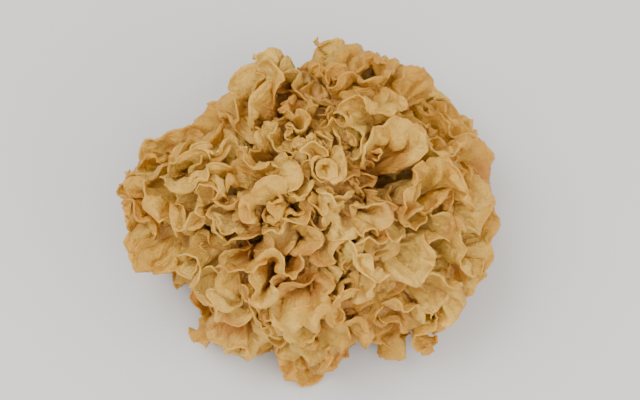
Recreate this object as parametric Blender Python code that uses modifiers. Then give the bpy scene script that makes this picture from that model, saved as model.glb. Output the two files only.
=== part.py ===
"""One dried snow fungus head, cut from its log: a hard foot and the ruffled fronds that fork from it.

Metres, +Z up. The origin is the middle of the foot's flat cut face, which the head rests on.
Every frond grows outwards from one centre inside the foot and keeps to its own cell of
directions, so neighbouring fronds never meet.
"""

import math
import random

import bmesh
import bpy
from mathutils import Vector

# How far the head reaches from its growth centre, and how high that centre is over the cut
WIDTH_REACH = 0.0372
DEPTH_REACH = 0.0345
CROWN_REACH = 0.0352
GROWTH_HEIGHT = 0.0110

# The foot, as distances from the growth centre and directions measured from straight up
CROWN_RADIUS = 0.0122
FOOT_REACH = 0.0180
FOOT_FLARE_FROM = math.radians(106)
FOOT_FLARE_TO = math.radians(138)
FOOT_LUMPS = 0.035
FOOT_SEGMENTS = 18
FOOT_BANDS = 10

# The fronds
FROND_THICKNESS = 0.0010
FROND_START = CROWN_RADIUS + 0.0010
RUFFLE_LENGTH = 0.0125
SEGMENTS_ALONG = 5
RIM_WRAP = 0.97

# The lowest rims flatten over this height above the surface that the cut rests on
FLOOR_SOFTNESS = 0.0022

# How the whole head grew unevenly
TWIST = math.radians(16)
DROOP = math.radians(12)
SWAY_AROUND = math.radians(8)
SWAY_HEIGHT = math.radians(4.5)
LUMP_SIZE = 0.05

# Rings of fronds from the crown down: name, number, middle and half height in degrees from
# straight up, share of the ring's width that each frond fills, turn in degrees and segments across
HEART = ("heart_frond", 1, 0.0, 8.0, 1.0, 25, 12)
RINGS = (
    HEART,
    ("inner_frond", 4, 21.0, 9.6, 0.86, 20, 12),
    ("middle_frond", 6, 42.0, 9.8, 0.93, 50, 14),
    ("outer_frond", 7, 63.0, 9.8, 0.95, 5, 16),
    ("skirt_frond", 8, 84.5, 10.4, 0.95, 32, 15),
)

FROND_COLOURS = {
    "heart_frond": (0.60, 0.38, 0.13, 1.0),
    "inner_frond": (0.58, 0.37, 0.13, 1.0),
    "middle_frond": (0.56, 0.35, 0.12, 1.0),
    "outer_frond": (0.54, 0.33, 0.11, 1.0),
    "skirt_frond": (0.50, 0.29, 0.09, 1.0),
}
FOOT_COLOUR = (0.32, 0.15, 0.035, 1.0)


def smooth_step(value):
    """0 to 1, level at both ends."""
    value = min(max(value, 0.0), 1.0)
    return value * value * (3 - 2 * value)


def grown_point(distance, polar, azimuth):
    """The place that growth in a direction reached, with the head's twist, droop, sway and lumps."""
    share = distance / WIDTH_REACH
    sideways = math.sin(polar)
    swayed = azimuth + TWIST * share + SWAY_AROUND * math.sin(2 * azimuth + 0.7)
    tipped = polar + DROOP * share**2 * sideways**2
    tipped += SWAY_HEIGHT * sideways * math.sin(3 * azimuth + 1.9)
    tipped += 0.6 * SWAY_HEIGHT * sideways * math.sin(5 * azimuth + 0.3)
    lumps = math.sin(2 * azimuth + 1.0) + 0.8 * math.sin(5 * azimuth + 3 * polar + 2.0)
    distance *= 1 + LUMP_SIZE * sideways * lumps * share
    height = distance * math.cos(tipped) * CROWN_REACH / WIDTH_REACH + GROWTH_HEIGHT
    return Vector(
        (
            distance * math.sin(tipped) * math.cos(swayed),
            distance * math.sin(tipped) * math.sin(swayed) * DEPTH_REACH / WIDTH_REACH,
            FLOOR_SOFTNESS * math.log1p(math.exp(height / FLOOR_SOFTNESS)),
        )
    )


def rim_width(ring):
    """How far one frond of a ring reaches from side to side at its rim."""
    if ring is HEART:
        return 2 * WIDTH_REACH * math.sin(math.radians(ring[3]))
    return 2 * math.pi * WIDTH_REACH * math.sin(math.radians(ring[2])) * ring[4] / ring[1]


def frond_habit(chance, ring):
    """One frond's own waves, cupping, curl and length, as no two grow alike."""
    return {
        "waves": chance.uniform(0.85, 1.15) * rim_width(ring) / RUFFLE_LENGTH,
        "phase": chance.uniform(0, 2 * math.pi),
        "skew": chance.uniform(-1.0, 1.0),
        "depth": chance.uniform(1.1, 1.5),
        "overhang": chance.uniform(0.07, 0.12),
        "cup": chance.uniform(-0.25, 0.30),
        "curl": chance.uniform(-0.40, 0.40),
        "length": chance.uniform(0.88, 1.05),
        "lobing": chance.uniform(0.03, 0.08),
    }


def frond_point(ring, index, habit, along, across):
    """A point of a frond's middle surface: along runs 0 at the foot to 1 at the rim, across -1 to 1."""
    _, number, middle, half_height, fill, turn, _ = ring
    wave = math.pi * habit["waves"] * across + habit["phase"] + habit["skew"] * along
    ruffle = along**1.7
    side = (0.50 + 0.50 * along**0.8) * across
    side -= habit["overhang"] * ruffle * math.sin(2 * wave)
    lift = habit["depth"] * ruffle * math.sin(wave)
    lift += habit["cup"] * (across**2 - 0.4) * along + habit["curl"] * along**3
    lift = half_height * math.tanh(lift)
    rim = habit["length"] * (1 - 0.12 * across**2 + habit["lobing"] * math.cos(1.6 * wave))
    wrapped = math.sin(along * RIM_WRAP * math.pi / 2) / math.sin(RIM_WRAP * math.pi / 2)
    distance = FROND_START + (WIDTH_REACH * rim - FROND_START) * wrapped
    if ring is HEART:
        polar = math.radians(math.hypot(half_height * side, lift))
        azimuth = math.radians(turn) + math.atan2(lift, half_height * side)
    else:
        polar = math.radians(middle + lift)
        azimuth = math.radians(turn) + 2 * math.pi * (index + 0.5 * side * fill) / number
    return grown_point(distance, polar, azimuth)


def material(name, colour, roughness):
    """A plain surface in the head's own colour."""
    made = bpy.data.materials.new(name)
    made.use_nodes = True
    shader = made.node_tree.nodes["Principled BSDF"]
    shader.inputs["Base Color"].default_value = colour
    shader.inputs["Roughness"].default_value = roughness
    shader.inputs["Metallic"].default_value = 0.0
    return made


def place(collection, name, shape, surface):
    """Puts a bmesh in the collection as a named object."""
    mesh = bpy.data.meshes.new(name)
    shape.to_mesh(mesh)
    shape.free()
    mesh.materials.append(surface)
    made = bpy.data.objects.new(name, mesh)
    collection.objects.link(made)
    return made


def foot_distance(polar, azimuth):
    """How far the foot's skin is from the growth centre: a round crown, then a flare to the cut."""
    flare = smooth_step((polar - FOOT_FLARE_FROM) / (FOOT_FLARE_TO - FOOT_FLARE_FROM))
    lumps = math.sin(3 * azimuth + 0.4) * 0.6 + math.sin(5 * azimuth + 2.1) * 0.4
    radius = CROWN_RADIUS + (FOOT_REACH - CROWN_RADIUS) * flare
    return radius * (1 + FOOT_LUMPS * (0.3 + 1.4 * flare) * lumps * math.sin(polar))


def make_foot(collection):
    """The hard foot: a lumpy ball of growth, flared below and cut off flat where it left its log."""
    shape = bmesh.new()
    bmesh.ops.create_uvsphere(
        shape, u_segments=FOOT_SEGMENTS, v_segments=FOOT_BANDS, radius=1.0
    )
    for vertex in shape.verts:
        direction = vertex.co.normalized()
        polar = math.acos(max(-1.0, min(1.0, direction.z)))
        azimuth = math.atan2(direction.y, direction.x)
        vertex.co = direction * foot_distance(polar, azimuth)
        vertex.co.y *= DEPTH_REACH / WIDTH_REACH
        vertex.co.z = vertex.co.z * CROWN_REACH / WIDTH_REACH + GROWTH_HEIGHT
    cut = bmesh.ops.bisect_plane(
        shape,
        geom=shape.verts[:] + shape.edges[:] + shape.faces[:],
        plane_co=(0, 0, 0),
        plane_no=(0, 0, -1),
        clear_outer=True,
    )
    rim = [piece for piece in cut["geom_cut"] if isinstance(piece, bmesh.types.BMEdge)]
    bmesh.ops.contextual_create(shape, geom=rim)
    bmesh.ops.recalc_face_normals(shape, faces=shape.faces)
    return place(collection, "foot", shape, material("foot", FOOT_COLOUR, 0.75))


def make_frond(collection, ring, index, habit, surface):
    """One frond: a fan-shaped sheet that ruffles towards its rim, given its thickness."""
    shape = bmesh.new()
    bmesh.ops.create_grid(
        shape, x_segments=ring[6], y_segments=SEGMENTS_ALONG, size=1.0
    )
    for vertex in shape.verts:
        across, along = vertex.co.x, (vertex.co.y + 1) / 2
        vertex.co = frond_point(ring, index, habit, along, across)
    made = place(collection, f"{ring[0]}_{index + 1}", shape, surface)
    solidify = made.modifiers.new("thickness", "SOLIDIFY")
    solidify.thickness = FROND_THICKNESS
    solidify.offset = 0.0
    return made


def main():
    """Clears the scene, then grows the foot and its rings of fronds."""
    for left_over in list(bpy.data.objects):
        bpy.data.objects.remove(left_over)
    collection = bpy.data.collections.new("dried_snow_fungus")
    bpy.context.scene.collection.children.link(collection)
    make_foot(collection)
    chance = random.Random(11)
    for ring in RINGS:
        surface = material(ring[0], FROND_COLOURS[ring[0]], 0.6)
        for index in range(ring[1]):
            make_frond(collection, ring, index, frond_habit(chance, ring), surface)


main()
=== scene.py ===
"""One dried snow fungus head on a pale floor, its fronds grown and crumpled round the solids.

The solids give every frond its place: a fan that starts at the foot's crown and keeps to its own
cell of directions. Here each frond also gets a blade that forks from it and a short one in the gap
over it, and then all blades grow together. Their rims grow faster than their bases, so they ruffle,
fold and press against each other under the head's own outline, as the real ones do while they grow
and dry.
"""

import logging
import math
import random
from dataclasses import dataclass, field
from enum import Enum
from typing import Any, Iterator, Union

import bpy
import numpy as np
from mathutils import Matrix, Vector


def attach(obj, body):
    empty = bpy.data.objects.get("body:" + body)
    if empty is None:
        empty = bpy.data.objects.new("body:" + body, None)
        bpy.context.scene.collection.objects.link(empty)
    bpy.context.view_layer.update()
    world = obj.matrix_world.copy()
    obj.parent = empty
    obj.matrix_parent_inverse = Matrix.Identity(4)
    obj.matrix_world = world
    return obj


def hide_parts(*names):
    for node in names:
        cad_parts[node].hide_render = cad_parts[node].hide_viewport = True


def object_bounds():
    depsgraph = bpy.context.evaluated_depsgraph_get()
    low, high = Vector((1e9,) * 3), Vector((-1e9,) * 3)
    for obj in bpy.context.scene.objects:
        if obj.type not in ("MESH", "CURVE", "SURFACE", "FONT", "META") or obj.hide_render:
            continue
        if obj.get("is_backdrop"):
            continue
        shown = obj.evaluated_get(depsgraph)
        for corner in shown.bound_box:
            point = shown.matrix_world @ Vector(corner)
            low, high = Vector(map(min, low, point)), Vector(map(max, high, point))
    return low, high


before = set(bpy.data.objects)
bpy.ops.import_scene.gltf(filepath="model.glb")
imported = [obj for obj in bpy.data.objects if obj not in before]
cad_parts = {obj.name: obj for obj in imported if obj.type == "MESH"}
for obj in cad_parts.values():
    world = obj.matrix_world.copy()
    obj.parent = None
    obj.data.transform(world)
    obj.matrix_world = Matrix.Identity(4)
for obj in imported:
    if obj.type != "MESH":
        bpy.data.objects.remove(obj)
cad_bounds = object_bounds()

log = logging.getLogger("snow_fungus")

MM = 0.001
BODY = "root"

# What a socket takes: a link, a number, or a colour or vector
Feed = Union["Value", float, tuple[float, ...]]


# Shader helpers


class Value:
    """A socket that Python's operators work on, each one adding the Math node it stands for."""

    def __init__(self, shader: "Shader", socket: bpy.types.NodeSocket) -> None:
        """Wraps a socket.

        Args:
            shader: The material that the socket belongs to.
            socket: The output that carries the value.
        """
        self.shader = shader
        self.socket = socket

    def _math(self, operation: str, *inputs: Feed) -> "Value":
        """Adds a Math node.

        Args:
            operation: The node's operation.
            inputs: Its values or links, in order.

        Returns:
            The node's result.
        """
        return self.shader.node("ShaderNodeMath", {"operation": operation}, dict(enumerate(inputs)))

    def __add__(self, other: Feed) -> "Value":
        """The sum."""
        return self._math("ADD", self, other)

    __radd__ = __add__

    def __sub__(self, other: Feed) -> "Value":
        """The difference."""
        return self._math("SUBTRACT", self, other)

    def __rsub__(self, other: Feed) -> "Value":
        """The difference, taken from a number."""
        return self._math("SUBTRACT", other, self)

    def __mul__(self, other: Feed) -> "Value":
        """The product."""
        return self._math("MULTIPLY", self, other)

    __rmul__ = __mul__

    def between(self, low: float, high: float) -> "Value":
        """0 below low, 1 above high, and smooth between them.

        Args:
            low: Where the rise starts.
            high: Where it ends. It may be the lower number, for a fall.

        Returns:
            The smooth step.
        """
        settings = {"interpolation_type": "SMOOTHSTEP"}
        return self.shader.node("ShaderNodeMapRange", settings, {0: self, 1: low, 2: high})


@dataclass(frozen=True)
class Grain:
    """One layer of noise.

    Attributes:
        scale: How fine it is.
        detail: How many finer layers it has.
        rough: How strong they are.
        drawn: How dense it is along a blade, where it follows the unrolled sheet. Below 1, it is
            drawn out towards the rim.
    """

    scale: float
    detail: float
    rough: float
    drawn: float = 1.0


class Shader:
    """One material's nodes."""

    def __init__(self, name: str) -> None:
        """Starts a material that holds only its Principled shader and its output.

        Args:
            name: The material's name.
        """
        self.material = bpy.data.materials.new(name)
        self.material.use_nodes = True
        self.tree = self.material.node_tree
        self.surface = self.tree.nodes["Principled BSDF"]
        # Light spreads by distance alone, which stays clean where folds press into each other
        self.surface.subsurface_method = "BURLEY"

    def node(
        self,
        kind: str,
        settings: dict[str, Any],
        inputs: dict[int | str, Feed],
        output: int | str = 0,
    ) -> Value:
        """Adds one node.

        Args:
            kind: The node's type.
            settings: The node's own options, set before its sockets.
            inputs: A value or a Value for each socket, by name or number.
            output: The name or number of the wanted output.

        Returns:
            The wanted output.
        """
        made = self.tree.nodes.new(kind)
        for option, choice in settings.items():
            setattr(made, option, choice)
        for socket, value in inputs.items():
            self._feed(made.inputs[socket], value)
        return Value(self, made.outputs[output])

    def _feed(self, socket: bpy.types.NodeSocket, value: Feed) -> None:
        """Links a Value to a socket, or sets the socket to a plain value.

        Args:
            socket: The socket.
            value: What it gets.
        """
        if isinstance(value, Value):
            self.tree.links.new(value.socket, socket)
        elif isinstance(value, tuple) and socket.type == "RGBA":
            socket.default_value = (*value, 1.0)
        else:
            socket.default_value = value

    def mix(self, share: Feed, first: Feed, second: Feed, blend: str = "MIX") -> Value:
        """Mixes two colours.

        Args:
            share: How much of the second.
            first: The first colour.
            second: The second colour.
            blend: The way of mixing.

        Returns:
            The mixed colour.
        """
        settings = {"data_type": "RGBA", "blend_type": blend, "clamp_factor": True}
        return self.node("ShaderNodeMix", settings, {0: share, 6: first, 7: second}, 2)

    def grey(self, level: Value) -> Value:
        """The grey that is as light as a value."""
        return self.node("ShaderNodeCombineColor", {}, {0: level, 1: level, 2: level})

    def attribute(self, name: str) -> Value:
        """The value that the mesh carries under a name."""
        return self.node("ShaderNodeAttribute", {"attribute_name": name}, {}, "Fac")

    def place(self) -> Value:
        """The point's place on the object, in metres."""
        return self.node("ShaderNodeTexCoord", {}, {}, "Object")

    def noise(self, grain: Grain, where: Value) -> Value:
        """Smooth noise.

        Args:
            grain: Its layer.
            where: The coordinates.

        Returns:
            Values round 0.5.
        """
        inputs = {
            "Vector": where,
            "Scale": grain.scale,
            "Detail": grain.detail,
            "Roughness": grain.rough,
        }
        return self.node("ShaderNodeTexNoise", {}, inputs)

    def sheet_noise(self, grain: Grain) -> Value:
        """Smooth noise that follows the blade's own unrolled sheet, in millimetres.

        Args:
            grain: Its layer.

        Returns:
            Values round 0.5.
        """
        where = self.node("ShaderNodeTexCoord", {}, {}, "UV")
        inputs = {"Vector": where, "Scale": (1.0, grain.drawn, 1.0)}
        return self.noise(grain, self.node("ShaderNodeMapping", {}, inputs))

    def bump(self, height: Value, distance: float, strength: float) -> Value:
        """A Bump node.

        Args:
            height: What stands proud.
            distance: How far a height of 1 stands proud, in metres.
            strength: The share of it that shows.

        Returns:
            The bent normal.
        """
        inputs = {"Strength": strength, "Distance": distance, "Height": height}
        return self.node("ShaderNodeBump", {}, inputs, "Normal")

    def finish(self, **sockets: Feed) -> bpy.types.Material:
        """Feeds the Principled shader.

        Args:
            sockets: A value or a Value for each socket, with _ for each space in its name.

        Returns:
            The finished material.
        """
        for name, value in sockets.items():
            self._feed(self.surface.inputs[name.replace("_", " ")], value)
        return self.material


# Finishes


class Tint(Enum):
    """The head's own colours, from its palest lobes to its darkest flecks, and a honey tint that
    paints light into its sheltered hollows.
    """

    CREAM = (0.75, 0.49, 0.105)
    # Painted light for the sheltered hollows
    HONEY_PAINTED_GLOW = (0.82, 0.50, 0.150)
    GOLD = (0.65, 0.355, 0.040)
    AMBER = (0.61, 0.30, 0.052)
    RUST = (0.52, 0.21, 0.042)
    PITH = (0.56, 0.34, 0.13)
    BARK = (0.085, 0.034, 0.010)


@dataclass(frozen=True)
class Wash:
    """A tint laid over others where some of the surface's patterns add up to enough.

    Attributes:
        tint: The tint.
        weights: The patterns that bring it on, and how much each counts.
        start: The sum where it starts to show.
        full: The sum where it is at its strongest.
        strength: How much it covers there.
    """

    tint: Tint
    weights: tuple[tuple[str, float], ...]
    start: float
    full: float
    strength: float = 1.0

    def over(self, shader: Shader, colour: Feed, patterns: dict[str, Value]) -> Value:
        """Lays the tint over a colour.

        Args:
            shader: The material.
            colour: The colour under it.
            patterns: The surface's patterns, by name.

        Returns:
            The washed colour.
        """
        (name, weight), *others = self.weights
        total = patterns[name] * weight
        for name, weight in others:
            total = total + patterns[name] * weight
        share = total.between(self.start, self.full) * self.strength
        return shader.mix(share, colour, self.tint.value)


@dataclass(frozen=True)
class FrondFinish:
    """Dry, thin and half see-through jelly: cream to gold, amber rims and rusty patches deep in,
    both partly painted shade, and painted light in its sheltered hollows.
    """

    roughness: float = 0.42
    roughness_spread: float = 0.3
    sheen: float = 0.25
    glow: float = 1.0
    glow_depth: float = 0.7 * MM
    glow_spread: tuple[float, float, float] = (1.0, 0.92, 0.75)
    clouds: Grain = Grain(95.0, 3.0, 0.55)
    blotches: Grain = Grain(62.0, 2.0, 0.5)
    mottle: Grain = Grain(700.0, 3.0, 0.6)
    grit: Grain = Grain(2600.0, 2.0, 0.6)
    streaks: Grain = Grain(0.9, 3.0, 0.55, 0.28)
    pleats: Grain = Grain(1.5, 3.0, 0.6, 0.16)
    folds: Grain = Grain(0.8, 4.0, 0.6, 0.7)
    ripe: Wash = Wash(Tint.GOLD, (("tone", 0.65), ("clouds", 0.85), ("streaks", 0.45)), 0.62, 1.22)
    stained: Wash = Wash(Tint.AMBER, (("clouds", 1.5), ("tone", 0.45)), 0.76, 1.36, 0.85)
    # Painted light: a paler honey tint where folds shelter a point, for light scattered into the
    # hollows
    hollow: Wash = Wash(Tint.HONEY_PAINTED_GLOW, (("shelter", 1.0), ("clouds", 0.2)), 0.80, 1.04)
    # How strongly the rusty patches, partly painted shade, cover the deep parts
    rust_and_shade_strength: float = 0.85
    rim_strength: float = 0.8
    mottling: float = 0.40
    relief: float = 2.2 * MM
    relief_strength: float = 0.9

    def _colour(self, shader: Shader, patterns: dict[str, Value]) -> Value:
        """The jelly's colour.

        Args:
            shader: The material.
            patterns: The surface's patterns, by name.

        Returns:
            The colour.
        """
        colour = self.ripe.over(shader, Tint.CREAM.value, patterns)
        colour = self.stained.over(shader, colour, patterns)
        # Painted light: sheltered hollows turn a paler honey
        colour = self.hollow.over(shader, colour, patterns)
        # Rusty patches only deep inside the head: partly real stains, partly painted shade in the
        # recesses
        rust_and_painted_shade = patterns["blotches"].between(0.50, 0.64) * patterns["depth"].between(0.03, 0.22)
        colour = shader.mix(rust_and_painted_shade * self.rust_and_shade_strength, colour, Tint.RUST.value)
        # Amber along every rim: partly the dried rims' own colour, partly painted shade along the
        # edges
        rim = patterns["rim"] * (patterns["clouds"] + patterns["streaks"] - 0.35)
        colour = shader.mix(rim * self.rim_strength, colour, Tint.AMBER.value)
        shade = shader.grey((patterns["mottle"] - 0.5) * self.mottling + 1.0)
        return shader.mix(1.0, colour, shade, "MULTIPLY")

    def material(self, name: str) -> bpy.types.Material:
        """Makes the finish.

        Args:
            name: The material's name.

        Returns:
            The material.
        """
        shader = Shader(name)
        place = shader.place()
        patterns = {kind: shader.attribute(kind) for kind in ("depth", "tone", "rim", "shelter")}
        for kind in ("clouds", "blotches", "mottle", "grit"):
            patterns[kind] = shader.noise(getattr(self, kind), place)
        for kind in ("streaks", "pleats", "folds"):
            patterns[kind] = shader.sheet_noise(getattr(self, kind))
        height = patterns["pleats"] * 0.50 + patterns["folds"] * 0.42 + patterns["grit"] * 0.08
        return shader.finish(
            Base_Color=self._colour(shader, patterns),
            Roughness=(patterns["mottle"] - 0.5) * self.roughness_spread + self.roughness,
            Subsurface_Weight=self.glow,
            Subsurface_Radius=self.glow_spread,
            Subsurface_Scale=self.glow_depth,
            Specular_IOR_Level=self.sheen,
            Normal=shader.bump(height, self.relief, self.relief_strength),
        )


@dataclass(frozen=True)
class FootFinish:
    """Hard amber-brown growth with bark flecks, and a paler cut with a rind, strokes and pores
    darkened by painted shade.
    """

    roughness: float = 0.62
    roughness_spread: float = 0.3
    glow: float = 0.15
    glow_depth: float = 1.0 * MM
    glow_spread: tuple[float, float, float] = (1.0, 0.5, 0.2)
    clouds: Grain = Grain(260.0, 4.0, 0.6)
    flecks: Grain = Grain(900.0, 3.0, 0.7)
    strokes: Grain = Grain(1500.0, 4.0, 0.65)
    stroke_turn: float = 0.5
    stroke_density: float = 0.12
    pore_scale: float = 850.0
    pore_shade_strength: float = 0.85
    relief: float = 0.8 * MM
    relief_strength: float = 0.7

    def _strokes(self, shader: Shader, place: Value) -> Value:
        """The marks of the blade that cut the head off, all one way.

        Args:
            shader: The material.
            place: The point's place.

        Returns:
            Values round 0.5.
        """
        inputs = {
            "Vector": place,
            "Rotation": (0.0, 0.0, self.stroke_turn),
            "Scale": (self.stroke_density, 1.0, 1.0),
        }
        return shader.noise(self.strokes, shader.node("ShaderNodeMapping", {}, inputs))

    def material(self) -> bpy.types.Material:
        """Makes the finish.

        Returns:
            The material.
        """
        shader = Shader("foot_hard_growth")
        place = shader.place()
        core = shader.attribute("core")
        clouds = shader.noise(self.clouds, place)
        flecks = shader.noise(self.flecks, place)
        strokes = self._strokes(shader, place)
        cells = {"Vector": place, "Scale": self.pore_scale}
        from_pore = shader.node("ShaderNodeTexVoronoi", {}, cells, "Distance")
        pores = from_pore.between(0.26, 0.10) * clouds.between(0.42, 0.60)
        skin = shader.mix(clouds.between(0.35, 0.68), Tint.RUST.value, Tint.AMBER.value)
        skin = shader.mix(flecks.between(0.60, 0.72), skin, Tint.BARK.value)
        fibres = (strokes * 0.7 + clouds * 0.6).between(0.50, 0.80)
        flesh = shader.mix(fibres, Tint.PITH.value, Tint.AMBER.value)
        rind = (core + clouds * 0.16).between(0.30, 0.10)
        flesh = shader.mix(rind, flesh, Tint.RUST.value)
        # Painted shade: the pits of the pores are darkened to bark brown
        flesh = shader.mix(pores * self.pore_shade_strength, flesh, Tint.BARK.value)
        cut = core.between(0.0, 0.03)
        skin_relief = clouds * 0.5 + flecks * 0.5
        cut_relief = strokes * 0.45 + clouds * 0.4 - pores * 0.35
        height = skin_relief + (cut_relief - skin_relief) * cut
        return shader.finish(
            Base_Color=shader.mix(cut, skin, flesh),
            Roughness=(clouds - 0.5) * self.roughness_spread + self.roughness,
            Subsurface_Weight=self.glow,
            Subsurface_Radius=self.glow_spread,
            Subsurface_Scale=self.glow_depth,
            Normal=shader.bump(height, self.relief, self.relief_strength),
        )


@dataclass(frozen=True)
class FloorFinish:
    """A plain pale studio floor."""

    colour: tuple[float, float, float] = (0.84, 0.83, 0.81)
    roughness: float = 0.7

    def material(self) -> bpy.types.Material:
        """Makes the finish."""
        return Shader("studio_floor").finish(Base_Color=self.colour, Roughness=self.roughness)


# The head's form, in millimetres, as the solids have it


@dataclass(frozen=True)
class HeadForm:
    """How far the head reaches from its growth centre, and how unevenly it grew."""

    reach: tuple[float, float, float] = (37.2, 34.5, 35.2)
    growth_height: float = 11.0
    crown_radius: float = 12.2
    foot_reach: float = 18.0
    frond_gap: float = 1.0
    twist: float = math.radians(16)
    droop: float = math.radians(12)
    sway_around: float = math.radians(8)
    sway_height: float = math.radians(4.5)
    lump_size: float = 0.05
    floor_softness: float = 2.2
    rim_wrap: float = 0.97
    ruffle_length: float = 12.5

    def lumps(self, polar: np.ndarray, azimuth: np.ndarray) -> np.ndarray:
        """How far the head bulges in a direction, as a share of its reach."""
        waves = np.sin(2 * azimuth + 1.0) + 0.8 * np.sin(5 * azimuth + 3 * polar + 2.0)
        return self.lump_size * np.sin(polar) * waves

    def grown_point(
        self, distance: np.ndarray, polar: np.ndarray, azimuth: np.ndarray
    ) -> np.ndarray:
        """The places that growth in some directions reached.

        Args:
            distance: How far each point is from the growth centre.
            polar: Its direction's angle from straight up.
            azimuth: Its direction's angle round the head.

        Returns:
            The points, with x, y and z last.
        """
        share = distance / self.reach[0]
        sideways = np.sin(polar)
        swayed = azimuth + self.twist * share + self.sway_around * np.sin(2 * azimuth + 0.7)
        tipped = polar + self.droop * share**2 * sideways**2
        tipped = tipped + self.sway_height * sideways * np.sin(3 * azimuth + 1.9)
        tipped = tipped + 0.6 * self.sway_height * sideways * np.sin(5 * azimuth + 0.3)
        distance = distance * (1 + self.lumps(polar, azimuth) * share)
        height = distance * np.cos(tipped) * self.reach[2] / self.reach[0] + self.growth_height
        soft = self.floor_softness
        return np.stack(
            [
                distance * np.sin(tipped) * np.cos(swayed),
                distance * np.sin(tipped) * np.sin(swayed) * self.reach[1] / self.reach[0],
                soft * np.log1p(np.exp(height / soft)),
            ],
            axis=-1,
        )

    def from_centre(self, points: np.ndarray) -> tuple[np.ndarray, np.ndarray]:
        """How far out points are, as a share of the head's reach in their direction.

        Args:
            points: The points, with x, y and z last.

        Returns:
            The points as vectors from the growth centre with the reach as 1, and the share.
        """
        out = (points - np.array([0, 0, self.growth_height])) / np.array(self.reach)
        length = lengths(out)
        polar = np.arccos(np.clip(out[..., 2] / length, -1, 1))
        azimuth = np.arctan2(out[..., 1], out[..., 0])
        return out, length / (1 + self.lumps(polar, azimuth))


@dataclass(frozen=True)
class Ring:
    """One ring of fronds, with its place in degrees from straight up."""

    name: str
    number: int
    middle: float
    half_height: float
    fill: float
    turn: float

    @property
    def upright(self) -> bool:
        """Whether this is the single frond in the middle of the crown."""
        return self.number == 1


RINGS = (
    Ring("heart_frond", 1, 0.0, 8.0, 1.0, 25),
    Ring("inner_frond", 4, 21.0, 9.6, 0.86, 20),
    Ring("middle_frond", 6, 42.0, 9.8, 0.93, 50),
    Ring("outer_frond", 7, 63.0, 9.8, 0.95, 5),
    Ring("skirt_frond", 8, 84.5, 10.4, 0.95, 32),
)


@dataclass(frozen=True)
class Habit:
    """One frond's own waves, cupping, curl and length, as no two grow alike."""

    waves: float
    phase: float
    skew: float
    depth: float
    overhang: float
    cup: float
    curl: float
    length: float
    lobing: float

    @classmethod
    def drawn(cls, chance: random.Random, ring: Ring, form: HeadForm) -> "Habit":
        """Draws a habit in the order that the solids were drawn in.

        Args:
            chance: The seeded source of chance.
            ring: The ring that the frond is in.
            form: The head's form.

        Returns:
            The habit.
        """
        if ring.upright:
            width = 2 * form.reach[0] * math.sin(math.radians(ring.half_height))
        else:
            round_the_ring = 2 * math.pi * form.reach[0] * math.sin(math.radians(ring.middle))
            width = round_the_ring * ring.fill / ring.number
        return cls(
            waves=chance.uniform(0.85, 1.15) * width / form.ruffle_length,
            phase=chance.uniform(0, 2 * math.pi),
            skew=chance.uniform(-1.0, 1.0),
            depth=chance.uniform(1.1, 1.5),
            overhang=chance.uniform(0.07, 0.12),
            cup=chance.uniform(-0.25, 0.30),
            curl=chance.uniform(-0.40, 0.40),
            length=chance.uniform(0.88, 1.05),
            lobing=chance.uniform(0.03, 0.08),
        )


@dataclass(frozen=True)
class Fork:
    """How a blade differs from its frond's main one, which these values leave as it is.

    Attributes:
        side: To which side of the frond it leans off, and how far.
        start: The share of the frond's length where it forks off.
        reach: Its length as a share of the frond's.
        phase: How far its waves are shifted.
        lean: How far it drifts round the head on its way out.
        width: Its width as a share of the frond's.
        rise: How far it lies towards the skirt, in degrees. Below 0, it lies over the frond.
        shift: How far round the ring it lies, in fronds.
        waviness: Its number of waves as a share of the frond's.
        ruffling: Their height as a share of the frond's.
    """

    side: float = 0.0
    start: float = 0.0
    reach: float = 1.0
    phase: float = 0.0
    lean: float = 0.0
    width: float = 1.0
    rise: float = 0.0
    shift: float = 0.0
    waviness: float = 1.0
    ruffling: float = 1.0


@dataclass(frozen=True)
class Blade:
    """One thin sheet of a frond: its main blade, or one that forks from it."""

    ring: Ring
    index: int
    habit: Habit
    fork: Fork

    def points(self, form: HeadForm, along: np.ndarray, across: np.ndarray) -> np.ndarray:
        """The blade's middle surface before it grows.

        Args:
            form: The head's form.
            along: 0 where the blade starts to 1 at its rim.
            across: -1 to 1 from side to side.

        Returns:
            The points, in millimetres.
        """
        ring, habit, fork = self.ring, self.habit, self.fork
        own = along
        along = fork.start + (1 - fork.start) * along
        wave = math.pi * habit.waves * across * fork.waviness
        wave = wave + habit.phase + fork.phase + habit.skew * along
        ruffle = along**1.7
        side = (0.5 + 0.5 * along**0.8) * across * fork.width + fork.lean * along
        side = side - habit.overhang * ruffle * np.sin(2 * wave)
        lift = habit.depth * ruffle * np.sin(wave) * fork.ruffling
        lift = lift + habit.cup * (across**2 - 0.4) * along + habit.curl * along**3
        lift = ring.half_height * np.tanh(lift + fork.side * own**0.7) + fork.rise
        rim = 1 - 0.12 * across**2 + habit.lobing * np.cos(1.6 * wave)
        rim = habit.length * fork.reach * rim
        wrapped = np.sin(along * form.rim_wrap * math.pi / 2)
        wrapped = wrapped / math.sin(form.rim_wrap * math.pi / 2)
        start = form.crown_radius + form.frond_gap
        distance = start + (form.reach[0] * rim - start) * wrapped
        turn = math.radians(ring.turn)
        if ring.upright:
            polar = np.radians(np.hypot(ring.half_height * side, lift))
            azimuth = turn + np.arctan2(lift, ring.half_height * side)
        else:
            polar = np.radians(ring.middle + lift)
            place = self.index + fork.shift + 0.5 * side * ring.fill
            azimuth = turn + 2 * math.pi * place / ring.number
        return form.grown_point(distance, polar, azimuth)


# Growth


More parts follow.
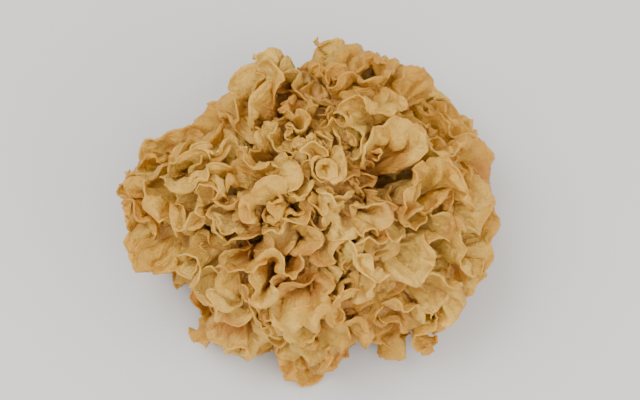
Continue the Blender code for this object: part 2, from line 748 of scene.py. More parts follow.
@dataclass(frozen=True)
class Season:
    """One spell of growth, in millimetres and shares.

    Attributes:
        steps: How many steps it takes.
        widening: How much a blade widens where it grows at its full rate.
        lengthening: How much it lengthens there.
        clearance: How far apart the middles of two folds stay.
        stiffness: How strongly a blade straightens in each step.
        freedom: How far its base and its rim may move from where they were.
        stir: How high its first faint waves are.
        rim_bias: The power by which growth gathers at the rim.
        patches: How many patches along and across it grow at rates of their own.
        patchiness: How much the patches differ.
        unevenness: How much whole blades differ.
        outline: How far out blades may reach, as a share of the head's form.
        outline_push: How much of what lies past that is pushed back in each step.
        look_round: After how many steps neighbours are looked for again.
        seed: Where the season's chance starts.
    """

    steps: int
    widening: float
    lengthening: float
    clearance: float
    stiffness: float
    freedom: tuple[float, float]
    stir: float
    rim_bias: float
    patches: tuple[int, int]
    patchiness: float
    unevenness: float
    outline: float
    outline_push: float
    look_round: int
    seed: int


SPRING = Season(
    steps=130,
    widening=1.4,
    lengthening=0.15,
    clearance=1.05,
    stiffness=0.045,
    freedom=(0.5, 4.5),
    stir=0.6,
    rim_bias=2.0,
    patches=(4, 9),
    patchiness=0.5,
    unevenness=0.25,
    outline=1.03,
    outline_push=0.10,
    look_round=6,
    seed=3,
)
DRYING = Season(
    steps=40,
    widening=1.3,
    lengthening=0.15,
    clearance=0.66,
    stiffness=0.03,
    freedom=(0.3, 1.7),
    stir=0.30,
    rim_bias=1.4,
    patches=(9, 26),
    patchiness=0.8,
    unevenness=0.0,
    outline=1.05,
    outline_push=0.15,
    look_round=8,
    seed=9,
)

# The two ends of each kind of link between neighbouring points of a sheet
ACROSS = (np.s_[:, :, 1:], np.s_[:, :, :-1])
ALONG = (np.s_[:, 1:], np.s_[:, :-1])
SLANT = (np.s_[:, 1:, 1:], np.s_[:, :-1, :-1])
COUNTER_SLANT = (np.s_[:, 1:, :-1], np.s_[:, :-1, 1:])

# How much of the mean step each column gets beside its own when columns are spread round a rim
SPARE_STEP = 0.3


def lengths(vectors: np.ndarray) -> np.ndarray:
    """The length of each vector, never quite 0."""
    return np.sqrt(np.einsum("...k,...k->...", vectors, vectors)) + 1e-9


def spread(knots: np.ndarray, count: int, axis: int) -> np.ndarray:
    """Spreads knots smoothly over more points.

    Args:
        knots: The known values.
        count: How many points are wanted along the axis.
        axis: The axis.

    Returns:
        The values of all the points.
    """
    known = knots.shape[axis]
    where = np.linspace(0, known - 1, count)
    left = np.clip(where.astype(int), 0, known - 2)
    share = where - left
    shape = [1] * knots.ndim
    shape[axis] = count
    share = (share * share * (3 - 2 * share)).reshape(shape)
    return np.take(knots, left, axis) * (1 - share) + np.take(knots, left + 1, axis) * share


class Growth:
    """Grows all blades together: rims fastest, each blade keeping clear of every other."""

    # The lowest height of a blade's middle, in millimetres
    FLOOR = 0.9
    # How much of an error in length each step mends, along the grid and across its cells
    GRIP = 0.30
    SLANT_GRIP = 0.06
    # How hard touching folds shove each other, and how much speed is kept from step to step
    SHOVE = 0.35
    DAMPING = 0.86
    # How much of what a point has moved too far each step takes back
    DRAW_BACK = 0.6
    # The share of its frond up to which a blade is held, and over which it then comes free
    HELD_UNTIL = 0.12
    FREE_WITHIN = 0.25
    # The share of a season after which nothing grows any more
    GROWING_TIME = 0.75
    # The slowest and the fastest growth of a whole blade and of a patch
    BLADE_RATES = (0.35, 1.8)
    PATCH_RATES = (0.1, 2.4)
    # How much blades differ in how far out they may reach, and the least and the most
    MARGIN_SPREAD = 0.05
    MARGINS = (0.90, 1.08)
    # How many first faint waves lie along and across a blade
    STIR_PATCHES = (7, 23)
    # How near neighbours are, and how far apart on their sheets they were, in clearances
    LOOK_REACH = 1.45
    SHEET_APART = 1.5

    def __init__(
        self, form: HeadForm, sheets: np.ndarray, starts: np.ndarray, season: Season
    ) -> None:
        """Prepares one season's growth.

        Args:
            form: The head's form.
            sheets: All blades' points, by blade, along, across and coordinate.
            starts: Where along its frond each blade forks.
            season: What this season does.
        """
        self.form, self.season = form, season
        self.chance = np.random.default_rng(season.seed)
        self.before = sheets
        along = np.linspace(0, 1, sheets.shape[1])[None, :, None] + np.zeros(sheets.shape[:3])
        self.along = starts[:, None, None] + (1 - starts[:, None, None]) * along
        self._plan_growth()
        self.sheets = self._stirred(sheets)
        low, high = season.freedom
        self.freedom = (low + (high - low) * self.along**1.2)[..., None]
        loose = (self.along - self.HELD_UNTIL) / self.FREE_WITHIN
        self.loose = np.clip(loose, 0, 1)[..., None]
        self.near, self.far = np.empty(0, int), np.empty(0, int)

    def _patches(self, rows: int, columns: int) -> np.ndarray:
        """Smooth random patches over every blade.

        Args:
            rows: How many patches lie along a blade.
            columns: How many lie across it.

        Returns:
            Values round 0, for each point.
        """
        blades, along, across = self.before.shape[:3]
        knots = self.chance.normal(size=(blades, rows, columns))
        return spread(spread(knots, along, 1), across, 2)

    def _plan_growth(self) -> None:
        """Sets how long each link is before and how much it grows."""
        season, one_each = self.season, (len(self.before), 1, 1)
        vigour = 1 + season.unevenness * self.chance.normal(size=one_each)
        patches = np.clip(1 + season.patchiness * self._patches(*season.patches), *self.PATCH_RATES)
        vigour = np.clip(vigour, *self.BLADE_RATES) * patches * self.along**season.rim_bias
        self.links = []
        for (far, near), gain in ((ACROSS, season.widening), (ALONG, season.lengthening)):
            length = lengths(self.before[far] - self.before[near])
            self.links.append((length, gain * 0.5 * (vigour[far] + vigour[near])))
        margin = 1 + self.MARGIN_SPREAD * self.chance.normal(size=one_each)
        self.outline = season.outline * np.clip(margin, *self.MARGINS)

    def _stirred(self, sheets: np.ndarray) -> np.ndarray:
        """The blades with their first faint waves.

        Args:
            sheets: The smooth blades.

        Returns:
            The stirred ones.
        """
        normal = np.cross(np.gradient(sheets, axis=1), np.gradient(sheets, axis=2))
        normal /= lengths(normal)[..., None]
        stir = self.season.stir * self.along**1.5 * self._patches(*self.STIR_PATCHES)
        return sheets + normal * stir[..., None]

    def _pull(self, force: np.ndarray, ends: tuple, wanted: np.ndarray, grip: float) -> None:
        """Pulls the ends of links towards the length that they should have.

        Args:
            force: What has been gathered for each point, which this adds to.
            ends: The far and the near ends.
            wanted: The wanted lengths.
            grip: How much of the error is mended.
        """
        far, near = ends
        step = self.sheets[far] - self.sheets[near]
        length = lengths(step)
        pull = (grip * (length - wanted) / length)[..., None] * step
        force[near] += pull
        force[far] -= pull

    def _hold_shape(self, force: np.ndarray, grown: float) -> None:
        """Keeps links at their grown lengths, and bends sheets as little as they can.

        Args:
            force: What has been gathered for each point.
            grown: The share of the season's growth so far.
        """
        across, along = (length * (1 + grown * gain) for length, gain in self.links)
        self._pull(force, ACROSS, across, self.GRIP)
        self._pull(force, ALONG, along, self.GRIP)
        slant = np.hypot(
            0.5 * (across[:, 1:] + across[:, :-1]), 0.5 * (along[:, :, 1:] + along[:, :, :-1])
        )
        self._pull(force, SLANT, slant, self.SLANT_GRIP)
        self._pull(force, COUNTER_SLANT, slant, self.SLANT_GRIP)
        sheets, stiff = self.sheets, self.season.stiffness
        for before, middle, after in (
            (np.s_[:, :, :-2], np.s_[:, :, 1:-1], np.s_[:, :, 2:]),
            (np.s_[:, :-2], np.s_[:, 1:-1], np.s_[:, 2:]),
        ):
            bend = stiff * (sheets[before] - 2 * sheets[middle] + sheets[after])
            force[middle] += bend
            force[before] -= 0.5 * bend
            force[after] -= 0.5 * bend

    def _find_neighbours(self) -> None:
        """Finds all points that are near each other now but were apart on their sheets."""
        reach = self.season.clearance * self.LOOK_REACH
        points = self.sheets.reshape(-1, 3)
        cells = ((points - points.min(0) + reach) / reach).astype(np.int64)
        size = cells.max(0) + 3
        keys = (cells[:, 0] * size[1] + cells[:, 1]) * size[2] + cells[:, 2]
        order = np.argsort(keys, kind="stable")
        keys = keys[order]
        everyone = np.arange(len(points))
        first, second = [], []
        steps = [(x, y, z) for x in (-1, 0, 1) for y in (-1, 0, 1) for z in (-1, 0, 1)]
        for step in (step for step in steps if step >= (0, 0, 0)):
            offset = (step[0] * size[1] + step[1]) * size[2] + step[2]
            left = np.searchsorted(keys, keys + offset, "left") if offset else everyone + 1
            right = np.searchsorted(keys, keys + offset, "right")
            live, ahead = everyone[left < right], 0
            while len(live):
                one, other = order[live], order[left[live] + ahead]
                gap = points[one] - points[other]
                close = np.einsum("ij,ij->i", gap, gap) < reach * reach
                first.append(one[close])
                second.append(other[close])
                ahead += 1
                live = live[left[live] + ahead < right[live]]
        first, second = np.concatenate(first), np.concatenate(second)
        before = self.before.reshape(-1, 3)
        were_apart = self.season.clearance * self.SHEET_APART
        apart = lengths(before[first] - before[second]) > were_apart
        self.near, self.far = first[apart], second[apart]

    def _keep_apart(self, force: np.ndarray) -> None:
        """Shoves near points of different folds off each other.

        Args:
            force: What has been gathered for each point.
        """
        points, clearance = self.sheets.reshape(-1, 3), self.season.clearance
        gap = points[self.near] - points[self.far]
        length = lengths(gap)
        touching = length < clearance
        near, far = self.near[touching], self.far[touching]
        gap, length = gap[touching], length[touching]
        shove = (self.SHOVE * (clearance - length) / length)[:, None] * gap
        flat = force.reshape(-1, 3)
        for axis in range(3):
            flat[:, axis] += np.bincount(near, shove[:, axis], len(points))
            flat[:, axis] -= np.bincount(far, shove[:, axis], len(points))

    def _confine(self) -> None:
        """Keeps the blades near where they started, under the head's outline and off the floor."""
        moved = self.sheets - self.before
        length = lengths(moved)[..., None]
        too_far = np.maximum(length - self.freedom, 0)
        self.sheets -= moved / length * too_far * self.DRAW_BACK
        out, share = self.form.from_centre(self.sheets)
        excess = np.maximum(share - self.outline, 0) * self.season.outline_push
        self.sheets -= out / lengths(out)[..., None] * excess[..., None] * np.array(self.form.reach)
        np.maximum(self.sheets[..., 2], self.FLOOR, out=self.sheets[..., 2])

    def run(self, steps: int) -> np.ndarray:
        """Grows the blades.

        Args:
            steps: How many steps the season takes.

        Returns:
            The grown sheets.
        """
        speed = np.zeros_like(self.sheets)
        for step in range(steps):
            force = np.zeros_like(self.sheets)
            self._hold_shape(force, min(1.0, step / (self.GROWING_TIME * steps)))
            if step % self.season.look_round == 0:
                self._find_neighbours()
            self._keep_apart(force)
            speed = (speed + force) * self.DAMPING
            self.sheets += speed * self.loose
            self._confine()
        return self.sheets


def spline_weights(where: np.ndarray, count: int) -> np.ndarray:
    """How much each of a row of points weighs in a smooth curve through the row.

    Args:
        where: The wanted places on the curve, counted in points from its start.
        count: How many points the row has.

    Returns:
        The weights, by place and point.
    """
    left = np.clip(where.astype(int), 0, count - 2)
    share = where - left
    pieces = (
        (1 - share) ** 3,
        3 * share**3 - 6 * share**2 + 4,
        -3 * share**3 + 3 * share**2 + 3 * share + 1,
        share**3,
    )
    weights = np.zeros((len(where), count + 2))
    for step, piece in enumerate(pieces):
        weights[np.arange(len(where)), left + step] = piece / 6
    weights[:, 1] += 2 * weights[:, 0]
    weights[:, 2] -= weights[:, 0]
    weights[:, -2] += 2 * weights[:, -1]
    weights[:, -3] -= weights[:, -1]
    return weights[:, 1:-1]


def respun(sheets: np.ndarray, rows: int, columns: int, gather: float) -> np.ndarray:
    """Smooth sheets with another number of points, evenly spaced round their rims.

    Args:
        sheets: The sheets' points, by sheet, along, across and coordinate.
        rows: How many rows of points each gets.
        columns: How many columns.
        gather: The power by which the rows gather towards the rim, 1 for none.

    Returns:
        The new sheets.
    """
    count, old_rows, old_columns = sheets.shape[:3]
    along = np.linspace(0, 1, rows) ** gather * (old_rows - 1)
    down = spline_weights(along, old_rows)
    spun = np.empty((count, rows, columns, 3))
    for number, sheet in enumerate(sheets):
        steps = lengths(np.diff(sheet[old_rows // 2 :], axis=1)).mean(axis=0)
        run = np.concatenate([[0.0], np.cumsum(steps + SPARE_STEP * steps.mean())])
        across = np.interp(np.linspace(0, run[-1], columns), run, np.arange(old_columns))
        weights = spline_weights(across, old_columns)
        spun[number] = np.einsum("ri,ck,ikx->rcx", down, weights, sheet, optimize=True)
    return spun


@dataclass(frozen=True)
class RimShape:
    """How a blade's rim is rounded at its corners and scalloped.

    Attributes:
        kept: The share of a blade's length that stays where no lobe cuts in.
        corner_from: Where between the middle and the side the corner starts.
        corner_depth: How much of the length it takes off.
        corner_curve: The power by which it does.
        lobes: How many lobes of each size lie round the rim, and how deep they cut in.
    """

    kept: float = 0.96
    corner_from: float = 0.70
    corner_depth: float = 0.38
    corner_curve: float = 2.2
    lobes: tuple[tuple[int, float], ...] = ((9, 0.035), (26, 0.036), (60, 0.022))

    def shaped(self, sheets: np.ndarray, chance: np.random.Generator) -> np.ndarray:
        """Draws each column of points back from the rim by its own share.

        Args:
            sheets: The grown sheets.
            chance: The seeded source of chance.

        Returns:
            The sheets with shaped rims.
        """
        rows, columns = sheets.shape[1:3]
        across = np.abs(np.linspace(-1, 1, columns))
        past = np.clip((across - self.corner_from) / (1 - self.corner_from), 0, 1)
        corner = self.corner_depth * past**self.corner_curve
        shaped = np.empty_like(sheets)
        for blade, sheet in enumerate(sheets):
            kept = self.kept - corner
            for count, depth in self.lobes:
                kept = kept - depth * np.abs(spread(chance.normal(size=count + 1), columns, 0))
            where = np.linspace(0, 1, rows)[:, None] * kept[None] * (rows - 1)
            low = np.clip(where.astype(int), 0, rows - 2)
            share = (where - low)[..., None]
            column = np.arange(columns)[None]
            shaped[blade] = sheet[low, column] * (1 - share) + sheet[low + 1, column] * share
        return shaped


@dataclass(frozen=True)
class Crumple:
    """The small creases that drying leaves in a blade, in millimetres.

    Attributes:
        ridges: How high the long ridges are.
        ridge_rows: How many knots of them lie along a blade.
        ridge_columns: How many columns of points one spans.
        dents: How deep the small dents are.
        dent_cells: How many cells of points one spans.
        level: How far from its mean a crease turns from out to in.
        full_spacing: Where points are closer than this, creases are lower.
    """

    ridges: float = 0.60
    ridge_rows: int = 5
    ridge_columns: float = 2.2
    dents: float = 0.38
    dent_cells: float = 2.0
    level: float = 0.8
    full_spacing: float = 0.75

    def crumpled(self, sheet: np.ndarray, chance: np.random.Generator) -> np.ndarray:
        """Pushes a blade's points in and out.

        Args:
            sheet: The blade's points, by along, across and coordinate.
            chance: The seeded source of chance.

        Returns:
            The crumpled blade.
        """
        rows, columns = sheet.shape[:2]
        normal = np.cross(np.gradient(sheet, axis=0), np.gradient(sheet, axis=1))
        normal /= lengths(normal)[..., None]
        height = np.zeros((rows, columns))
        for amount, down, round_it in (
            (self.ridges, self.ridge_rows, int(columns / self.ridge_columns)),
            (self.dents, int(rows / self.dent_cells), int(columns / self.dent_cells)),
        ):
            knots = chance.normal(size=(down, round_it))
            waves = spread(spread(knots, rows, 0), columns, 1)
            height += amount * (self.level - np.abs(waves))
        room = np.clip(lengths(np.gradient(sheet, axis=1)) / self.full_spacing, 0, 1)
        return sheet + normal * (height * room)[..., None]


@dataclass(frozen=True)
class Shelter:
    """How far the folds round each point of the head keep the light off it, in millimetres.

    Attributes:
        cell: The size of the cells of space that the sheets' area is counted in.
        directions: In how many directions each point looks out.
        lowest: The upward part of the lowest direction.
        nearest: How far from the point it starts to look.
        farthest: How far it looks.
        steps: At how many places on the way.
    """

    cell: float = 1.0
    directions: int = 24
    lowest: float = -0.35
    nearest: float = 1.5
    farthest: float = 12.0
    steps: int = 7

    def _outlooks(self) -> Iterator[np.ndarray]:
        """The directions, spread evenly from straight up to the lowest.

        Yields:
            Each one, with a length of 1.
        """
        golden_angle = math.pi * (3 - math.sqrt(5))
        for number in range(self.directions):
            up = self.lowest + (1 - self.lowest) * (number + 0.5) / self.directions
            level, turn = math.sqrt(1 - up * up), golden_angle * number
            yield np.array([level * math.cos(turn), level * math.sin(turn), up])

    def of(self, sheets: list[np.ndarray]) -> list[np.ndarray]:
        """Looks out from every point in all the directions.

        Args:
            sheets: The finished blades, each by along, across and coordinate.

        Returns:
            For each blade, the share of directions that folds block, by along and across.
        """
        normals = [np.cross(*np.gradient(sheet, axis=(0, 1))) for sheet in sheets]
        areas = np.concatenate([lengths(normal).ravel() for normal in normals])
        points = np.concatenate([sheet.reshape(-1, 3) for sheet in sheets])
        room = self.farthest + self.cell
        low, high = points.min(axis=0) - room, points.max(axis=0) + room
        size = ((high - low) / self.cell).astype(int) + 1

        def cells(places: np.ndarray) -> np.ndarray:
            """The number of the cell that each place is in."""
            return np.ravel_multi_index(((places - low) / self.cell).astype(int).T, size)

        crowding = 0.5 * np.bincount(cells(points), areas, size.prod()) / self.cell**3
        distances = np.linspace(self.nearest, self.farthest, self.steps)
        open_sky = np.zeros(len(points))
        for outlook in self._outlooks():
            passed = sum(crowding[cells(points + distance * outlook)] for distance in distances)
            open_sky += np.exp(-passed * (distances[1] - distances[0]))
        hidden = 1 - open_sky / self.directions
        ends = np.cumsum([sheet[..., 0].size for sheet in sheets])[:-1]
        parts = zip(np.split(hidden, ends), sheets)
        return [part.reshape(sheet.shape[:2]) for part, sheet in parts]


# Pieces


def deselect() -> None:
    """Leaves nothing selected, so that an operator acts only on what is added next."""
    if bpy.context.mode != "OBJECT":
        bpy.ops.object.mode_set(mode="OBJECT")
    bpy.ops.object.select_all(action="DESELECT")


def add_attribute(mesh: bpy.types.Mesh, name: str, values: np.ndarray) -> None:
    """Gives every point of a mesh a value that its material reads.

    Args:
        mesh: The mesh.
        name: The name that the material knows it by.
        values: The values, in the order of the points.
    """
    attribute = mesh.attributes.new(name, "FLOAT", "POINT")
    attribute.data.foreach_set("value", values.astype(np.float32).ravel())


def hand_over(
    piece: bpy.types.Object, nodes: list[str], slot: str, material: bpy.types.Material
) -> None:
    """Dresses a piece and hides the solids that it stands for.

    Args:
        piece: The finished piece.
        nodes: The solids that it replaces.
        slot: Not used.
        material: Its material.
    """
    piece.data.materials.clear()
    piece.data.materials.append(material)
    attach(piece, BODY)
    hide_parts(*nodes)
    log.info("%s: %d faces", piece.name, len(piece.data.polygons))


@dataclass(frozen=True)
class Sheet:
    """A finished blade: its points, in millimetres, and how sheltered each one is."""

    points: np.ndarray
    shelter: np.ndarray


@dataclass
class Frond:
    """One frond of the head: its main blade and the blades that fork from it, as one piece.

    Attributes:
        ring: The ring that it is in.
        index: Its number in the ring.
        blades: Its blades before they grow.
        thickness: How thick they are when dry, in millimetres.
        rim_fade: Over how many millimetres the colour of the rim fades.
        lowest: How far the floor keeps every point up, in millimetres.
        ripeness: How unripe and how ripe a frond may be, from 0 to 1.
        ripeness_spread: How far a blade may differ from its frond.
        unrolled_gap: How far apart the patterns of the unripest and the ripest blade lie.
        sheets: Its blades when they have grown.
    """

    ring: Ring
    index: int
    blades: list[Blade]
    thickness: float = 0.30
    rim_fade: float = 1.1
    lowest: float = 0.3
    ripeness: tuple[float, float] = (0.1, 0.9)
    ripeness_spread: float = 0.25
    unrolled_gap: float = 40.0
    sheets: list[Sheet] = field(default_factory=list)

    @property
    def node(self) -> str:
        """The name of the solid that it stands for."""
        return f"{self.ring.name}_{self.index + 1}"

    def _unroll(self, mesh: bpy.types.Mesh, points: np.ndarray, tone: float) -> None:
        """Scales a blade's UV map to the millimetres of its unrolled sheet.

        Args:
            mesh: The blade's mesh.
            points: Its points.
            tone: How ripe it is, which also moves its patterns aside.
        """
        rows, columns = points.shape[:2]
        width = lengths(np.diff(points[rows // 2], axis=0)).sum()
        length = lengths(np.diff(points[:, columns // 2], axis=0)).sum()
        unrolled = np.empty(len(mesh.loops) * 2, dtype=np.float32)
        mesh.uv_layers[0].data.foreach_get("uv", unrolled)
        unrolled = unrolled.reshape(-1, 2) * (width, length) + (self.unrolled_gap * tone, 0)
        mesh.uv_layers[0].data.foreach_set("uv", unrolled.astype(np.float32).ravel())

    def _blade(self, sheet: Sheet, tone: float, form: HeadForm) -> bpy.types.Object:
        """Makes one blade as a sheet without thickness.

        Args:
            sheet: The finished blade.
            tone: How ripe the blade is, 0 to 1.
            form: The head's form.

        Returns:
            The sheet.
        """
        points = sheet.points
        rows, columns = points.shape[:2]
        bpy.ops.mesh.primitive_grid_add(
            x_subdivisions=columns - 1, y_subdivisions=rows - 1, size=1
        )
        made = bpy.context.object
        made.data.vertices.foreach_set("co", (points * MM).astype(np.float32).ravel())
        _, share = form.from_centre(points)
        depth = np.clip((1 - share) / (1 - form.crown_radius / form.reach[0]), 0, 1)
        steps = lengths(np.diff(points[::-1], axis=0))
        to_rim = np.concatenate([np.zeros((1, columns)), np.cumsum(steps, axis=0)])[::-1]
        add_attribute(made.data, "depth", depth)
        add_attribute(made.data, "shelter", sheet.shelter)
        add_attribute(made.data, "tone", np.full(rows * columns, tone))
        add_attribute(made.data, "rim", np.exp(-to_rim / self.rim_fade))
        self._unroll(made.data, points, tone)
        return made

    def build(self, form: HeadForm, chance: random.Random) -> bpy.types.Object:
        """Makes the frond.

        Args:
            form: The head's form.
            chance: The seeded source of chance.

        Returns:
            The frond as one piece.
        """
        ripeness = chance.uniform(*self.ripeness)
        made = []
        for sheet in self.sheets:
            deselect()
            tone = ripeness + chance.uniform(-self.ripeness_spread, self.ripeness_spread)
            made.append(self._blade(sheet, min(max(tone, 0.0), 1.0), form))
        deselect()
        for one in made:
            one.select_set(True)
        piece = made[0]
        bpy.context.view_layer.objects.active = piece
        bpy.ops.object.join()
        piece.name = piece.data.name = f"{self.node}_ruffles"
        wall = piece.modifiers.new("thickness", "SOLIDIFY")
        wall.thickness = self.thickness * MM
        wall.offset = 0.0
        bpy.ops.object.modifier_apply(modifier=wall.name)
        for vertex in piece.data.vertices:
            vertex.co.z = max(vertex.co.z, self.lowest * MM)
        bpy.ops.object.shade_smooth()
        return piece


@dataclass
class Foot:
    """The hard foot that the fronds fork from, cut off flat below. Lengths are in millimetres.

    Attributes:
        node: The solid that it stands for.
        segments: How many segments it has round.
        bands: How many bands it has from top to bottom.
        flare_from: The angle from straight up where it starts to flare.
        flare_to: The angle where the flare ends.
        lump: How lumpy it is, as a share of its size.
        skin: How far its skin stands out over the solid's crown.
        ridge: How high the ridges on its skin are.
        crinkle: How high its finest bumps are.
        edge_angle: How sharp an edge has to be to look sharp.
        cut_rings: How many rings of points the cut has.
        cut_hollow: How far drying has hollowed the cut.
        flat: Below this height, in metres, a point lies on the cut.
    """

    node: str = "foot"
    segments: int = 96
    bands: int = 64
    flare_from: float = math.radians(106)
    flare_to: float = math.radians(138)
    lump: float = 0.035
    skin: float = 0.7
    ridge: float = 0.385
    crinkle: float = 0.22
    edge_angle: float = math.radians(40)
    cut_rings: int = 12
    cut_hollow: float = 0.55
    flat: float = 1e-6

    def _skin(self, form: HeadForm, polar: float, azimuth: float) -> float:
        """How far the skin is from the growth centre in a direction.

        Args:
            form: The head's form.
            polar: The direction's angle from straight up.
            azimuth: Its angle round the foot.

        Returns:
            The distance, in millimetres.
        """
        flare = min(max((polar - self.flare_from) / (self.flare_to - self.flare_from), 0.0), 1.0)
        flare = flare * flare * (3 - 2 * flare)
        lumps = math.sin(3 * azimuth + 0.4) * 0.6 + math.sin(5 * azimuth + 2.1) * 0.4
        radius = form.crown_radius + (form.foot_reach - form.crown_radius) * flare
        radius *= 1 + self.lump * (0.3 + 1.4 * flare) * lumps * math.sin(polar)
        ridges = math.sin(9 * azimuth + 5 * math.sin(4 * polar))
        ridges += math.sin(14 * polar + 3 * math.sin(3 * azimuth))
        crinkles = math.sin(23 * azimuth + 9 * polar) * math.sin(17 * polar - 4 * azimuth)
        raised = (1 - flare) * (self.skin + self.ridge * ridges)
        return radius + raised + self.crinkle * crinkles

    def _add_cut_rings(self, mesh: bpy.types.Mesh) -> np.ndarray:
        """Divides the one flat face of the cut into rings.

        Args:
            mesh: The foot's mesh.

        Returns:
            The points of the cut's rim.
        """
        cut = min(mesh.polygons, key=lambda face: face.center.z)
        rim = np.array([mesh.vertices[index].co for index in cut.vertices])
        for face in mesh.polygons:
            face.select = face.index == cut.index
        bpy.ops.object.mode_set(mode="EDIT")
        bpy.ops.mesh.select_mode(type="FACE")
        for ring in range(self.cut_rings, 1, -1):
            share = (ring - 1) / ring
            bpy.ops.mesh.extrude_region()
            bpy.ops.transform.resize(value=(share, share, 1), center_override=(0, 0, 0))
        bpy.ops.mesh.poke()
        bpy.ops.mesh.select_all(action="SELECT")
        bpy.ops.mesh.normals_make_consistent(inside=False)
        bpy.ops.object.mode_set(mode="OBJECT")
        return rim

    def _hollow_cut(self, mesh: bpy.types.Mesh, rim: np.ndarray) -> None:
        """Leaves the cut hollow and ridged, as drying does, and marks how far in its points lie.

        Args:
            mesh: The foot's mesh.
            rim: The points of the cut's rim.
        """
        points = np.array([vertex.co for vertex in mesh.vertices])
        azimuth = np.arctan2(points[:, 1], points[:, 0])
        rim_azimuth = np.arctan2(rim[:, 1], rim[:, 0])
        rim_radius = np.hypot(rim[:, 0], rim[:, 1])
        reach = np.interp(azimuth, rim_azimuth, rim_radius, period=2 * math.pi)
        inward = np.clip(1 - np.hypot(points[:, 0], points[:, 1]) / reach, 0, 1)
        inward[points[:, 2] > self.flat] = 0
        ridges = np.sin(7 * azimuth + 9 * inward) * np.sin(31 * inward + 3 * np.sin(2 * azimuth))
        hollow = np.clip(4 * inward, 0, 1) * (0.7 + 0.3 * ridges)
        points[:, 2] += self.cut_hollow * MM * hollow
        mesh.vertices.foreach_set("co", points.astype(np.float32).ravel())
        add_attribute(mesh, "core", inward)

    def build(self, form: HeadForm) -> bpy.types.Object:
        """Makes the foot.

        Args:
            form: The head's form.

        Returns:
            The foot.
        """
        deselect()
        bpy.ops.mesh.primitive_uv_sphere_add(
            segments=self.segments, ring_count=self.bands, radius=1.0
        )
        piece = bpy.context.object
        piece.name = piece.data.name = "foot_with_cut"
        for vertex in piece.data.vertices:
            direction = vertex.co.normalized()
            polar = math.acos(max(-1.0, min(1.0, direction.z)))
            azimuth = math.atan2(direction.y, direction.x)
            place = direction * self._skin(form, polar, azimuth)
            place.y *= form.reach[1] / form.reach[0]
            place.z = place.z * form.reach[2] / form.reach[0] + form.growth_height
            vertex.co = place * MM
        bpy.ops.object.mode_set(mode="EDIT")
        bpy.ops.mesh.select_all(action="SELECT")
        bpy.ops.mesh.bisect(
            plane_co=(0, 0, 0),
            plane_no=(0, 0, 1),
            use_fill=True,
            clear_inner=True,
            threshold=self.flat,
        )
        bpy.ops.object.mode_set(mode="OBJECT")
        self._hollow_cut(piece.data, self._add_cut_rings(piece.data))
        bpy.ops.object.shade_smooth_by_angle(angle=self.edge_angle)
        return piece


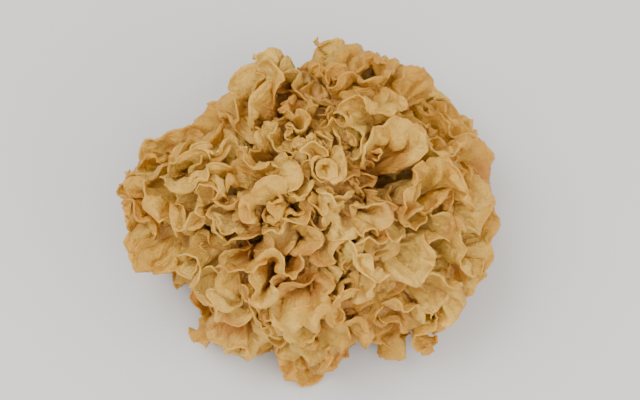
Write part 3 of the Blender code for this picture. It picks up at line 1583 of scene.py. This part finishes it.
@dataclass
class Head:
    """The whole head: the foot and every ring of fronds.

    Attributes:
        form: Its form.
        columns: How many points lie across a blade that starts to grow.
        rows: How many lie along it.
        drying_grid: How many lie along and across a blade that starts to dry.
        blade_grid: How many lie along and across a finished blade.
        filler_grid: The same for the short blades in the gaps.
        gather: The power by which the rows of a finished blade gather towards its rim.
        habit_seed: Where the chance of the fronds' habits starts, as for the solids.
        fork_seed: Where that of their forks starts.
        shape_seed: Where that of their rims and creases starts.
        tone_seed: Where that of their tones starts.
        rim: The shape of the rims.
        crumple: The creases.
        shelter: How shelter is measured.
    """

    form: HeadForm = field(default_factory=HeadForm)
    columns: int = 53
    rows: int = 18
    drying_grid: tuple[int, int] = (35, 107)
    blade_grid: tuple[int, int] = (22, 164)
    filler_grid: tuple[int, int] = (16, 100)
    gather: float = 0.7
    habit_seed: int = 11
    fork_seed: int = 5
    shape_seed: int = 4
    tone_seed: int = 21
    rim: RimShape = field(default_factory=RimShape)
    crumple: Crumple = field(default_factory=Crumple)
    shelter: Shelter = field(default_factory=Shelter)

    def _forks(self, chance: random.Random, ring: Ring) -> Iterator[Fork]:
        """The blades of one frond.

        Args:
            chance: The seeded source of chance.
            ring: The ring that the frond is in.

        Yields:
            The main blade, one that forks from it, and a short one in the gap over the frond.
        """
        yield Fork()
        yield Fork(
            side=chance.choice((-1, 1)) * chance.uniform(0.75, 0.95),
            start=chance.uniform(0.20, 0.35),
            reach=chance.uniform(0.86, 1.0),
            phase=chance.uniform(0, 2 * math.pi),
            lean=chance.uniform(-0.3, 0.3),
            width=chance.uniform(0.75, 0.95),
            waviness=0.8,
            ruffling=0.55,
        )
        yield Fork(
            side=0.01,
            reach=chance.uniform(0.78, 0.92),
            phase=chance.uniform(0, 2 * math.pi),
            rise=-ring.half_height * (0.9 if ring.upright else 1.08),
            shift=chance.uniform(0.4, 0.6),
            width=1.1,
            waviness=0.8,
            ruffling=0.55,
        )

    def _fronds(self) -> list[Frond]:
        """Sets out every frond.

        Returns:
            The fronds before they grow.
        """
        chance, fork_chance = random.Random(self.habit_seed), random.Random(self.fork_seed)
        fronds = []
        for ring in RINGS:
            for index in range(ring.number):
                habit = Habit.drawn(chance, ring, self.form)
                forks = self._forks(fork_chance, ring)
                blades = [Blade(ring, index, habit, fork) for fork in forks]
                fronds.append(Frond(ring, index, blades))
        return fronds

    def _simulate(self, blades: list[Blade], quick: bool) -> np.ndarray:
        """Grows and dries all blades together.

        Args:
            blades: The blades.
            quick: Whether a rough result will do.

        Returns:
            Their sheets, by blade, along, across and coordinate.
        """
        across, along = np.meshgrid(np.linspace(-1, 1, self.columns), np.linspace(0, 1, self.rows))
        sheets = np.array([blade.points(self.form, along, across) for blade in blades])
        starts = np.array([blade.fork.start for blade in blades])
        spring_steps = SPRING.steps // 4 if quick else SPRING.steps
        sheets = Growth(self.form, sheets, starts, SPRING).run(spring_steps)
        log.info("spring growth done")
        sheets = respun(sheets, *self.drying_grid, 1.0)
        if not quick:
            sheets = Growth(self.form, sheets, starts, DRYING).run(DRYING.steps)
            log.info("drying done")
        return sheets

    def grow(self, quick: bool) -> list[Frond]:
        """Grows all fronds, shapes their rims and crumples them.

        Args:
            quick: Whether a rough result will do.

        Returns:
            The fronds with their finished sheets.
        """
        fronds = self._fronds()
        blades = [blade for frond in fronds for blade in frond.blades]
        chance = np.random.default_rng(self.shape_seed)
        sheets = self.rim.shaped(self._simulate(blades, quick), chance)
        fillers = np.array([blade.fork.rise != 0 for blade in blades])
        finished: dict[int, np.ndarray] = {}
        for which, grid in ((~fillers, self.blade_grid), (fillers, self.filler_grid)):
            spun = respun(sheets[which], *grid, self.gather)
            for number, sheet in zip(np.flatnonzero(which), spun):
                finished[number] = self.crumple.crumpled(sheet, chance)
        points = [finished[number] for number in range(len(blades))]
        made = map(Sheet, points, self.shelter.of(points))
        for frond in fronds:
            frond.sheets = [next(made) for _ in frond.blades]
        return fronds

    def build(self) -> None:
        """Grows, makes and dresses every piece."""
        foot = Foot()
        hand_over(foot.build(self.form), [foot.node], "foot", FootFinish().material())
        finishes = {ring.name: FrondFinish().material(f"{ring.name}_jelly") for ring in RINGS}
        chance = random.Random(self.tone_seed)
        for frond in self.grow(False):
            piece = frond.build(self.form, chance)
            hand_over(piece, [frond.node], frond.ring.name, finishes[frond.ring.name])


# Studio


@dataclass(frozen=True)
class SoftLight:
    """A square area light, pointed at the head."""

    place: tuple[float, float, float]
    power: float
    size: float


@dataclass
class Studio:
    """A pale floor, soft light and the camera."""

    floor_size: float = 3.0
    aim: tuple[float, float, float] = (0.0, 0.0, 0.021)
    elevation: float = math.radians(68)
    azimuth: float = math.radians(0)
    distance: float = 0.36
    lens: float = 100.0
    lights: tuple[SoftLight, ...] = (
        SoftLight((-0.22, 0.00, 0.49), 1.6, 0.32),
        SoftLight((0.38, -0.20, 0.32), 1.1, 0.35),
        SoftLight((0.06, -0.26, 0.52), 0.8, 0.25),
    )
    air_colour: tuple[float, float, float] = (1.0, 0.98, 0.95)
    air_strength: float = 0.76

    def _point(self, made: bpy.types.Object, place: Vector) -> None:
        """Puts a light or the camera in its place, pointed at the head.

        Args:
            made: The light or the camera.
            place: Its place.
        """
        made.location = place
        made.rotation_euler = (Vector(self.aim) - place).to_track_quat("-Z", "Y").to_euler()
        bpy.context.scene.collection.objects.link(made)

    def _lay_floor(self) -> None:
        """Makes the floor."""
        deselect()
        bpy.ops.mesh.primitive_plane_add(size=self.floor_size)
        floor = bpy.context.object
        floor.name = "studio_floor"
        floor.data.materials.append(FloorFinish().material())
        floor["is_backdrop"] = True

    def _hang_lights(self) -> None:
        """Makes the lights and the light that comes from all round."""
        for number, light in enumerate(self.lights):
            made = bpy.data.lights.new(f"soft_light_{number + 1}", "AREA")
            made.energy, made.size = light.power, light.size
            self._point(bpy.data.objects.new(made.name, made), Vector(light.place))
        world = bpy.data.worlds.new("studio_air")
        world.use_nodes = True
        background = world.node_tree.nodes["Background"]
        background.inputs["Color"].default_value = (*self.air_colour, 1.0)
        background.inputs["Strength"].default_value = self.air_strength
        bpy.context.scene.world = world

    def _set_up_camera(self) -> None:
        """Makes the camera, which looks down at the head."""
        camera = bpy.data.cameras.new("portrait_camera")
        camera.lens = self.lens
        level = math.cos(self.elevation)
        back = Vector(
            (
                math.sin(self.azimuth) * level,
                -math.cos(self.azimuth) * level,
                math.sin(self.elevation),
            )
        )
        made = bpy.data.objects.new("portrait_camera", camera)
        self._point(made, Vector(self.aim) + back * self.distance)
        bpy.context.scene.camera = made

    def build(self) -> None:
        """Makes the floor, the lights and the camera."""
        self._lay_floor()
        self._hang_lights()
        self._set_up_camera()


def main() -> None:
    """Builds the head and the studio, and measures both boxes."""
    logging.basicConfig(level=logging.INFO, format="%(message)s")
    Head().build()
    Studio().build()
    boxes = [[list(map(float, corner)) for corner in box] for box in (cad_bounds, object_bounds())]


if __name__ == "__main__":
    main()
